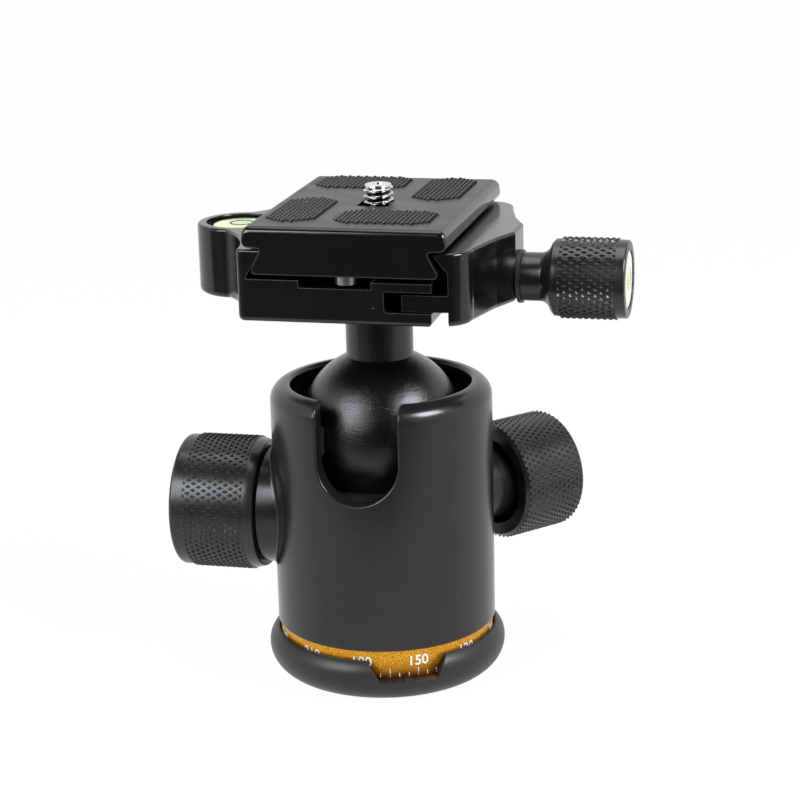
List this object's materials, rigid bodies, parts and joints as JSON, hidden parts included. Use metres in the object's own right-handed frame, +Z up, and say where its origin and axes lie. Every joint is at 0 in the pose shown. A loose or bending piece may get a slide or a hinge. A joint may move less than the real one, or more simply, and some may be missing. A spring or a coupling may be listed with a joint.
{
  "type": "tripod ball head",
  "caption": "Compact tripod ball head with knurled lock knobs, a drop notch, a degree ring and a dovetail quick-release clamp with plate.",
  "frame": {"origin": "centre of the base's underside, on the pan axis, at the mouth of the tripod thread", "axes": "+Z up along the pan axis; -Y towards the drop notch; -X along the main lock knob; +X along the clamp knob"},
  "size_m": [0.0989, 0.0721, 0.1077],
  "materials": {
    "black_coat": "satin black coat",
    "black_gloss": "semi-gloss black coat",
    "black_anodised": "black anodised, knurled",
    "black_ball": "black anodised, fine blasted",
    "gold_ring": "gold anodised with a printed degree scale",
    "bare_aluminium": "turned, bare",
    "brass_bush": "turned brass",
    "steel_screws": "blackened or plain steel",
    "spring_steel": "oiled spring steel",
    "bright_screw": "bright plated, polished",
    "white_washer": "white acetal",
    "black_liner": "black acetal",
    "rubber_pad": "black rubber with a raised weave",
    "level_fluid": "clear lid over lime green fluid with a black ring"
  },
  "bodies": {
    "base": {"base_cup": "black_coat", "pan_spindle": "bare_aluminium", "spindle_screws": "steel_screws", "tripod_bush": "brass_bush", "thrust_washer_lower": "white_washer", "thrust_washer_upper": "white_washer", "circlip": "spring_steel"},
    "housing": {"housing": "black_coat", "degree_ring": "gold_ring", "floor_ring": "bare_aluminium", "ring_screws": "steel_screws", "seat_upper": "black_liner", "seat_lower": "black_liner", "wedge_ring": "brass_bush", "support_ring": "bare_aluminium", "cup_buffers": "rubber_pad"},
    "main_lock": {"lock_plunger": "brass_bush"},
    "main_knob": {"main_knob": "black_anodised", "main_knob_screw": "steel_screws", "main_knob_cap": "black_anodised"},
    "pan_lock": {"pan_shoe": "brass_bush"},
    "pan_knob": {"pan_knob": "black_anodised", "pan_knob_screw": "steel_screws", "pan_knob_cap": "black_anodised"},
    "ball": {"ball": "black_ball"},
    "stem": {"stem": "black_ball", "stem_screw": "steel_screws"},
    "clamp": {"clamp_body": "black_gloss", "level_vial": "level_fluid", "level_case": "black_liner"},
    "jaw": {"movable_jaw": "black_gloss", "knob_washer": "black_liner"},
    "clamp_knob": {"clamp_knob": "black_anodised", "clamp_screw": "steel_screws", "knob_vial": "level_fluid"},
    "plate": {"plate": "black_gloss", "pad_left": "rubber_pad", "pad_front": "rubber_pad", "pad_right": "rubber_pad", "pad_back": "rubber_pad", "stop_screws": "steel_screws"},
    "camera_screw": {"camera_screw": "bright_screw"}
  },
  "joints": [
    {"name": "pan", "type": "hinge", "parent": "base", "child": "housing", "pos_m": [0, 0, 0.0116], "axis": [0, 0, 1], "continuous": true},
    {"name": "main_lock_travel", "type": "slide", "parent": "housing", "child": "main_lock", "axis": [-1, 0, 0], "range_m": [0, 0.001]},
    {"name": "main_knob_turn", "type": "hinge", "parent": "main_lock", "child": "main_knob", "pos_m": [-0.035, 0, 0.0356], "axis": [-1, 0, 0], "range_deg": [0, 360]},
    {"name": "pan_lock_travel", "type": "slide", "parent": "housing", "child": "pan_lock", "axis": [0.6508, 0.7593, 0], "range_m": [0, 0.0008]},
    {"name": "pan_knob_turn", "type": "hinge", "parent": "pan_lock", "child": "pan_knob", "pos_m": [0.02473, 0.02885, 0.0356], "axis": [0.6508, 0.7593, 0], "range_deg": [0, 360]},
    {"name": "side_tilt", "type": "hinge", "parent": "housing", "child": "ball", "pos_m": [0, 0, 0.0543], "axis": [0, 1, 0], "range_deg": [-30, 30]},
    {"name": "front_tilt", "type": "hinge", "parent": "ball", "child": "stem", "pos_m": [0, 0, 0.0543], "axis": [1, 0, 0], "range_deg": [-30, 90]},
    {"name": "spin", "type": "hinge", "parent": "stem", "child": "clamp", "pos_m": [0, 0, 0.0842], "axis": [0, 0, 1], "continuous": true},
    {"name": "jaw_travel", "type": "slide", "parent": "clamp", "child": "jaw", "axis": [1, 0, 0], "range_m": [-0.0008, 0.0024]},
    {"name": "clamp_knob_turn", "type": "hinge", "parent": "jaw", "child": "clamp_knob", "pos_m": [0.045, 0, 0.0888], "axis": [1, 0, 0], "range_deg": [-360, 1080]},
    {"name": "plate_slide", "type": "slide", "parent": "clamp", "child": "plate", "axis": [0, 1, 0], "range_m": [-0.006, 0.006]},
    {"name": "camera_screw_turn", "type": "hinge", "parent": "plate", "child": "camera_screw", "pos_m": [0.0004, 0.0008, 0.1], "axis": [0, 0, 1], "continuous": true}
  ],
  "couplings": [
    {"joint": "main_knob_turn", "follows": "main_lock_travel", "rad_per_m": 6283.2},
    {"joint": "pan_knob_turn", "follows": "pan_lock_travel", "rad_per_m": 7854},
    {"joint": "clamp_knob_turn", "follows": "jaw_travel", "rad_per_m": 7854}
  ]
}
